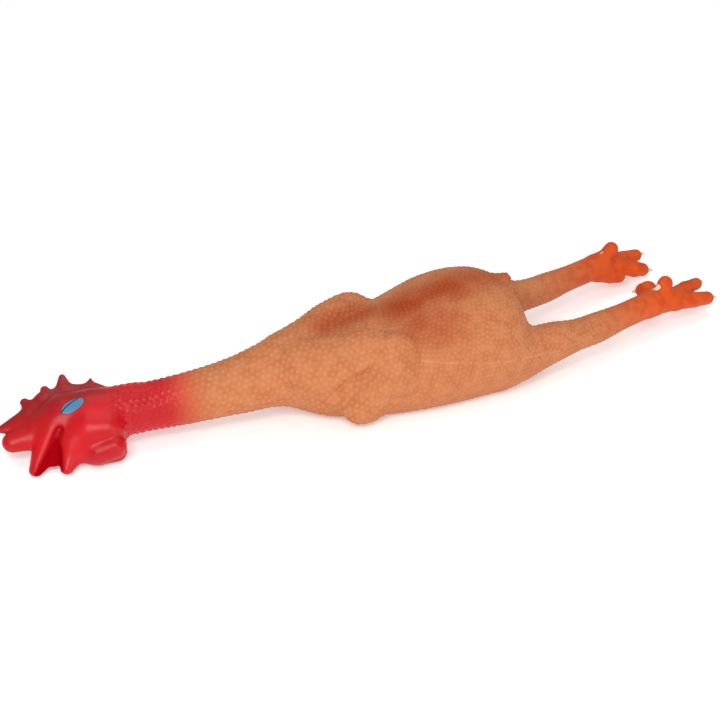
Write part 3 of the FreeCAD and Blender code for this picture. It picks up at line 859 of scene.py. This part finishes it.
def make_piece(name, material, slot, *replaced):
    """One piece of the skin, with shading that runs on into its neighbours. It stands for the CAD
    skin of its body and for the stuffing packed inside it."""
    own = quads[piece_of_face == name]
    used, local = np.unique(own, return_inverse=True)
    mesh = bpy.data.meshes.new(name)
    mesh.from_pydata((vertices[used] * MM).tolist(), [], local.reshape(-1, 4).tolist())
    for key, values in point_values.items():
        attribute = mesh.attributes.new(key, "FLOAT", "POINT")
        attribute.data.foreach_set("value", values[used].astype(np.float32))
    resting = vertices[used].astype(np.float32).ravel()
    mesh.attributes.new("rest", "FLOAT_VECTOR", "POINT").data.foreach_set("vector", resting)
    mesh.shade_smooth()
    mesh.normals_split_custom_set_from_vertices(normals[used].tolist())
    mesh.materials.append(material)
    piece = bpy.data.objects.new(name, mesh)
    bpy.context.scene.collection.objects.link(piece)
    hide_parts(*replaced)
    return piece


def bend_at(piece, direction):
    """Bakes the piece's placement into its mesh."""
    direction = unit(direction)
    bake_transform(piece)


torso = make_piece("torso_rubber", body_latex, "body_latex", "torso_skin", "torso_filling")
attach(torso, "torso")

neck_chain = ("torso", "neck_lower", "neck_middle", "neck_upper", "head")
neck_rubber = ("neck_root_rubber", "neck_middle_rubber", "neck_top_rubber", "head_rubber")
neck_runs = [b - a for a, b in zip(NECK[:-1], NECK[1:])]
neck_runs.append(neck_runs[-1])
for index, name in enumerate(neck_rubber):
    parent, child = neck_chain[index], neck_chain[index + 1]
    is_head = child == "head"
    look, slot = (red_latex, "painted_red_latex") if is_head else (body_latex, "body_latex")
    piece = make_piece(name, look, slot, child + "_skin", child + "_filling")
    bend_at(piece, neck_runs[index])

for side in SIDES:
    hip, knee, ankle = legs[side]
    thigh, shank, foot_body = side + "_thigh", side + "_shank", side + "_foot"
    piece = make_piece(side + "_hip_rubber", body_latex, "body_latex", thigh + "_skin", thigh + "_filling")
    bend_at(piece, (1, 0, 0))
    piece = make_piece(side + "_knee_rubber", body_latex, "body_latex", shank + "_skin", shank + "_filling")
    bend_at(piece, ankle - hip)
    piece = make_piece(side + "_foot_rubber", foot_latex, "foot_latex", foot_body)
    bend_at(piece, ankle - knee)

# ---------------------------------------------------------------- studio

CAMERA_TARGET = Vector((-0.046, 0, 0.025))
CAMERA_AZIMUTH = math.radians(-28)
CAMERA_ELEVATION = math.radians(30)
CAMERA_DISTANCE = 1.1
CAMERA_LENS = 94.4


def outward_direction(azimuth, elevation):
    """From the target towards the viewer: azimuth 0 is straight in front, angles in radians."""
    level_part = math.cos(elevation)
    return Vector((math.sin(azimuth) * level_part, -math.cos(azimuth) * level_part, math.sin(elevation)))


def aimed(thing, place, target):
    """Puts a camera or a light in the scene, turned to the target."""
    thing.location = place
    thing.rotation_euler = (target - place).to_track_quat("-Z", "Y").to_euler()
    bpy.context.scene.collection.objects.link(thing)
    return thing


camera = bpy.data.objects.new("camera", bpy.data.cameras.new("camera"))
camera.data.lens = CAMERA_LENS
camera_direction = outward_direction(CAMERA_AZIMUTH, CAMERA_ELEVATION)
aimed(camera, CAMERA_TARGET + CAMERA_DISTANCE * camera_direction, CAMERA_TARGET)
bpy.context.scene.camera = camera


def soft_box(name, azimuth, elevation, distance, size, power):
    """A round soft light, with its direction in degrees, metres and watts."""
    light = bpy.data.lights.new(name, "AREA")
    light.shape = "DISK"
    light.size = size
    light.energy = power
    place = CAMERA_TARGET + distance * outward_direction(math.radians(azimuth), math.radians(elevation))
    return aimed(bpy.data.objects.new(name, light), place, CAMERA_TARGET)


soft_box("key_light", azimuth=-38, elevation=43, distance=1.3, size=0.55, power=9.5)
soft_box("fill_light", azimuth=15, elevation=14, distance=1.5, size=1.0, power=6)
soft_box("top_light", azimuth=150, elevation=75, distance=1.4, size=1.2, power=5)

FLOOR_HALF = 3.0
FLOOR_DROP = -0.0002
PAPER_GREY = (0.9, 0.9, 0.9, 1)
PAPER_GLOW = 0.3
WHITE = (1, 1, 1, 1)

floor_mesh = bpy.data.meshes.new("floor")
signs = ((-1, -1), (1, -1), (1, 1), (-1, 1))
corners = [(x * FLOOR_HALF, y * FLOOR_HALF, FLOOR_DROP) for x, y in signs]
floor_mesh.from_pydata(corners, [], [(0, 1, 2, 3)])
floor = bpy.data.objects.new("floor", floor_mesh)
bpy.context.scene.collection.objects.link(floor)
paper = Shader("paper")
paper.surface.inputs["Base Color"].default_value = PAPER_GREY
paper.surface.inputs["Roughness"].default_value = 0.9
paper.surface.inputs["Emission Color"].default_value = WHITE
paper.surface.inputs["Emission Strength"].default_value = PAPER_GLOW
floor_mesh.materials.append(paper.material)

# the room is white to the camera and dimmer as a light
ROOM_GLOW = 0.45
world = bpy.data.worlds.new("studio")
world.use_nodes = True
room = world.node_tree
room.nodes["Background"].inputs["Color"].default_value = WHITE
seen_or_lit = room.nodes.new("ShaderNodeMapRange")
seen_or_lit.inputs["To Min"].default_value = ROOM_GLOW
light_path = room.nodes.new("ShaderNodeLightPath")
room.links.new(light_path.outputs["Is Camera Ray"], seen_or_lit.inputs["Value"])
room.links.new(seen_or_lit.outputs["Result"], room.nodes["Background"].inputs["Strength"])
bpy.context.scene.world = world
bpy.context.scene.view_settings.view_transform = "Standard"
